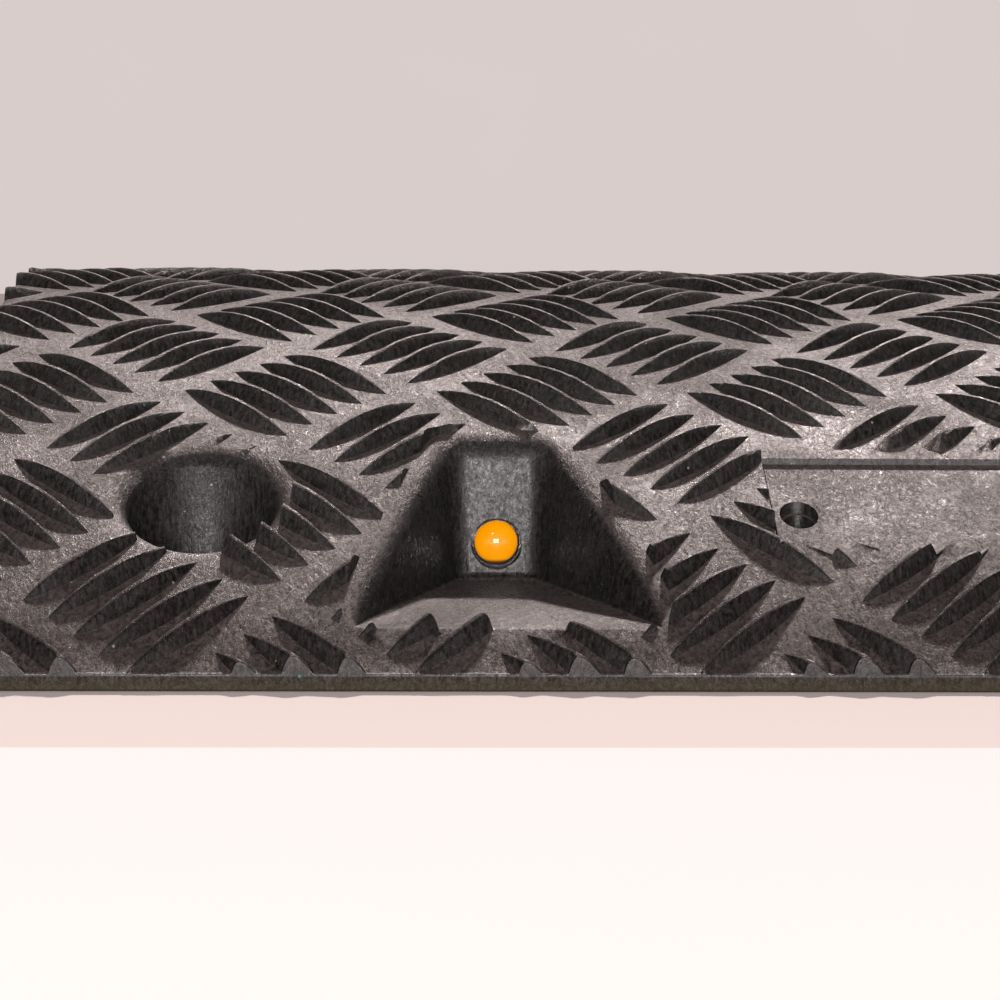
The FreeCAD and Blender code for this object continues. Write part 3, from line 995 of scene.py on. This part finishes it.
def amber_glass():
    """Amber glass over a mirror: it sends light straight back, so it looks bright and nearly opaque. That brightness
    is a painted glow, and the ball's edge gets a painted shade.
    """
    n = Nodes("amber_glass_over_mirror")
    haze = n.noise(0.25, 3.0, 0.6, 0.6)
    rim = n.add("ShaderNodeLayerWeight", {"Blend": 0.35}).outputs["Facing"]
    height = n.add("ShaderNodeSeparateXYZ", {"Vector": n.place}).outputs["Z"]
    colour = n.mix(n.span(haze, 0.3, 0.7), (1.0, 0.335, 0.0, 1.0), (1.0, 0.375, 0.002, 1.0))
    # painted shade: the ball's edge is darker
    colour = n.mix(n.span(rim, 0.55, 1.0, 0.0, 0.85), colour, (0.72, 0.15, 0.0, 1.0))
    foot = n.span(height, BALL_SHADE_LOW * MM, BALL_SHADE_HIGH * MM, 1.0, 0.0, smooth=True)
    colour = n.mix(foot, colour, (0.085, 0.018, 0.0, 1.0))
    n.set(n.shader.inputs["Base Color"], n.mix(0.8, colour, (0.06, 0.015, 0.0, 1.0)))
    # painted glow: the emission stands in for the light that the mirror sends back
    n.set(n.shader.inputs["Emission Color"], colour)
    n.shader.inputs["Emission Strength"].default_value = 0.92
    n.set(n.shader.inputs["Roughness"], n.span(haze, 0.3, 0.7, 0.03, 0.07))
    n.shader.inputs["Coat Weight"].default_value = 1.0
    n.shader.inputs["Coat Roughness"].default_value = 0.02
    n.shader.inputs["IOR"].default_value = 1.52
    return n.material


def mirror_foil():
    """Bright pressed foil with a fine crinkle. Its rolled rim is painted dark and dull, a painted shade."""
    n = Nodes("mirror_foil")
    crinkle = n.noise(0.8, 4.0, 0.6)
    rim = abs(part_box("mirror_cup_front_left")[0][1])
    depth = n.math("ABSOLUTE", n.add("ShaderNodeSeparateXYZ", {"Vector": n.place}).outputs["Y"])
    # painted shade: the rolled rim turns dark, dull and not metallic
    rim_shade = n.span(depth, rim - RIM_SHADE_START * MM, rim - RIM_SHADE_FULL * MM, smooth=True)
    foil = n.mix(crinkle, (0.80, 0.78, 0.74, 1.0), (0.93, 0.92, 0.89, 1.0))
    rim_shade_colour = n.mix(crinkle, (0.03, 0.026, 0.022, 1.0), (0.10, 0.09, 0.07, 1.0))
    n.set(n.shader.inputs["Base Color"], n.mix(rim_shade, foil, rim_shade_colour))
    n.set(n.shader.inputs["Metallic"], n.math("SUBTRACT", 1.0, rim_shade))
    rough = n.math("ADD", n.span(crinkle, 0.3, 0.7, 0.12, 0.28), n.math("MULTIPLY", rim_shade, 0.35))
    n.set(n.shader.inputs["Roughness"], rough)
    n.set(n.shader.inputs["Normal"], n.bump(crinkle, 0.04, 0.6))
    return n.material


def lit_paper(name, paper, paper_other, glow, glow_other, strength):
    """Plain paper with a faint unevenness, and with some light coming through it."""
    n = Nodes(name)
    unevenness = n.noise(0.01, 3.0, 0.5)
    n.set(n.shader.inputs["Base Color"], n.mix(unevenness, paper, paper_other))
    n.set(n.shader.inputs["Emission Color"], n.mix(unevenness, glow, glow_other))
    n.shader.inputs["Emission Strength"].default_value = strength
    n.shader.inputs["Roughness"].default_value = 0.9
    n.shader.inputs["Specular IOR Level"].default_value = 0.0
    return n.material


plastic = recycled_plastic()
amber = amber_glass()
foil = mirror_foil()
ramp.data.materials.append(plastic)
for ball in balls:
    ball.data.materials.append(amber)
    # the ball sends its light back the way it came, not out onto the pocket's walls
    ball.visible_diffuse = False
    ball.visible_glossy = False
for cup in cups:
    cup.data.materials.append(foil)


# ------------------------------------------------------------------ floor, light and camera

KEY_AZIMUTH = 12.0
KEY_ELEVATION = 47.0
KEY_POWER = 2.65
KEY_ANGLE = 4.0
FRONT_POWER = 22.0
SPOT_POWER = 0.9
FLOOR_GLOW = 0.12
FLOOR_JOINT = -0.2735
BACKDROP_GLOW = 0.95
WORLD_LOW = (0.60, 0.525, 0.50, 1.0)
SIDE_SHARE = 0.05
WORLD_HIGH = (0.08, 0.075, 0.08, 1.0)
# papers, each in two close shades
WHITE_PAPER = ((0.93, 0.925, 0.91, 1.0), (0.95, 0.945, 0.93, 1.0))
BLUSH_PAPER = ((0.90, 0.80, 0.77, 1.0), (0.92, 0.82, 0.79, 1.0))
BACKDROP_PAPER = ((0.030, 0.027, 0.026, 1.0), (0.034, 0.030, 0.029, 1.0))
BACKDROP_LIGHT = ((0.70, 0.622, 0.608, 1.0), (0.72, 0.642, 0.628, 1.0))
FLOOR_DROP = 0.0002
SHEET_HALF_WIDTH = 5.0
CAMERA_PLACE = (-0.1644, -0.8287, 0.1023)
CAMERA_YAW = 0.0443
CAMERA_PITCH = 0.1053
CAMERA_ROLL = 0.0086
CAMERA_LENS = 115.5


def build_sheet(name, profile, half_width, material):
    """A sheet carried along X from a profile of (y, z) in metres."""
    points = []
    faces = []
    for y, z in profile:
        points += [(-half_width, y, z), (half_width, y, z)]
    for n in range(len(profile) - 1):
        faces.append((2 * n, 2 * n + 1, 2 * n + 3, 2 * n + 2))
    mesh = bpy.data.meshes.new(name)
    mesh.from_pydata(points, [], faces)
    mesh.shade_smooth()
    made = bpy.data.objects.new(name, mesh)
    bpy.context.scene.collection.objects.link(made)
    mesh.materials.append(material)


def soft_light(name, place, aim, size, power, colour):
    """A square area light that looks from one point to another. Metres and watts."""
    data = bpy.data.lights.new(name, "AREA")
    data.shape = "RECTANGLE"
    data.size, data.size_y = size
    data.energy = power
    data.color = colour
    made = bpy.data.objects.new(name, data)
    made.location = place
    made.rotation_euler = (Vector(aim) - Vector(place)).to_track_quat("-Z", "Y").to_euler()
    bpy.context.scene.collection.objects.link(made)
    return made


def sun_from(azimuth, elevation, power, angle):
    """The key light: a far, fairly small source. Azimuth goes from +Y towards +X. Degrees."""
    turn = math.radians(azimuth)
    rise = math.radians(elevation)
    towards = Vector((math.sin(turn) * math.cos(rise), math.cos(turn) * math.cos(rise), math.sin(rise)))
    data = bpy.data.lights.new("key_behind", "SUN")
    data.energy = power
    data.angle = math.radians(angle)
    data.color = (1.0, 0.87, 0.835)
    made = bpy.data.objects.new("key_behind", data)
    made.rotation_euler = towards.to_track_quat("Z", "Y").to_euler()
    bpy.context.scene.collection.objects.link(made)


def build_world():
    """A room that is pale towards the horizon and dim overhead."""
    world = bpy.data.worlds.new("studio")
    world.use_nodes = True
    tree = world.node_tree
    place = tree.nodes.new("ShaderNodeTexCoord")
    split = tree.nodes.new("ShaderNodeSeparateXYZ")
    ramp_node = tree.nodes.new("ShaderNodeValToRGB")
    sideways = tree.nodes.new("ShaderNodeMath")
    sideways.operation = "ABSOLUTE"
    dimmer = tree.nodes.new("ShaderNodeMapRange")
    dimmer.inputs["From Min"].default_value = 0.45
    dimmer.inputs["From Max"].default_value = 0.85
    dimmer.inputs["To Min"].default_value = 1.0
    dimmer.inputs["To Max"].default_value = SIDE_SHARE
    tree.links.new(place.outputs["Generated"], split.inputs[0])
    tree.links.new(split.outputs["X"], sideways.inputs[0])
    tree.links.new(sideways.outputs[0], dimmer.inputs["Value"])
    tree.links.new(split.outputs["Z"], ramp_node.inputs["Fac"])
    tree.links.new(ramp_node.outputs["Color"], tree.nodes["Background"].inputs["Color"])
    tree.links.new(dimmer.outputs[0], tree.nodes["Background"].inputs["Strength"])
    stops = ramp_node.color_ramp.elements
    stops[0].position, stops[0].color = 0.0, WORLD_LOW
    stops[1].position, stops[1].color = 0.75, WORLD_HIGH
    stop = stops.new(0.22)
    stop.color = WORLD_LOW
    return world


def build_camera():
    """The camera: low in front of the left part of the hump, looking slightly down and to the right."""
    right = Vector((math.cos(CAMERA_YAW), -math.sin(CAMERA_YAW), 0.0))
    level = Vector((math.sin(CAMERA_YAW), math.cos(CAMERA_YAW), 0.0))
    ahead = level * math.cos(CAMERA_PITCH) - Vector((0.0, 0.0, math.sin(CAMERA_PITCH)))
    up = level * math.sin(CAMERA_PITCH) + Vector((0.0, 0.0, math.cos(CAMERA_PITCH)))
    lean, tilt = math.cos(CAMERA_ROLL), math.sin(CAMERA_ROLL)
    right, up = right * lean + up * tilt, up * lean - right * tilt
    data = bpy.data.cameras.new("camera")
    data.lens = CAMERA_LENS
    data.sensor_width = 36.0
    made = bpy.data.objects.new("camera", data)
    turn = Matrix((right, up, -ahead)).transposed()
    made.matrix_world = Matrix.Translation(Vector(CAMERA_PLACE)) @ turn.to_4x4()
    bpy.context.scene.collection.objects.link(made)
    bpy.context.scene.camera = made


front_paper = lit_paper("white_floor", *WHITE_PAPER, *WHITE_PAPER, FLOOR_GLOW * 1.6)
floor_paper = lit_paper("pale_floor", *BLUSH_PAPER, *BLUSH_PAPER, FLOOR_GLOW)
build_sheet("floor_front", [(-5.0, -FLOOR_DROP), (FLOOR_JOINT, -FLOOR_DROP)], SHEET_HALF_WIDTH, front_paper)
build_sheet("floor", [(FLOOR_JOINT, -FLOOR_DROP), (1.7, -FLOOR_DROP)], SHEET_HALF_WIDTH, floor_paper)
backdrop_paper = lit_paper("pale_backdrop", *BACKDROP_PAPER, *BACKDROP_LIGHT, BACKDROP_GLOW)
sweep = [(1.6 + 0.6 * math.sin(a), 0.6 * (1.0 - math.cos(a))) for a in np.linspace(0.0, math.pi / 2.0, 12)]
build_sheet("backdrop", sweep + [(2.2, 1.1)], SHEET_HALF_WIDTH, backdrop_paper)

middle = (-0.12, -0.1, 0.03)
sun_from(KEY_AZIMUTH, KEY_ELEVATION, KEY_POWER, KEY_ANGLE)
soft_light("front_soft", (-0.2, -2.1, 0.36), middle, (1.0, 0.72), FRONT_POWER, (1.0, 0.94, 0.955))
soft_light("front_spot", (-0.60, -1.02, 1.15), middle, (0.18, 0.15), SPOT_POWER, (1.0, 1.0, 1.0))
bpy.context.scene.world = build_world()
bpy.context.scene.view_settings.view_transform = "Standard"
build_camera()
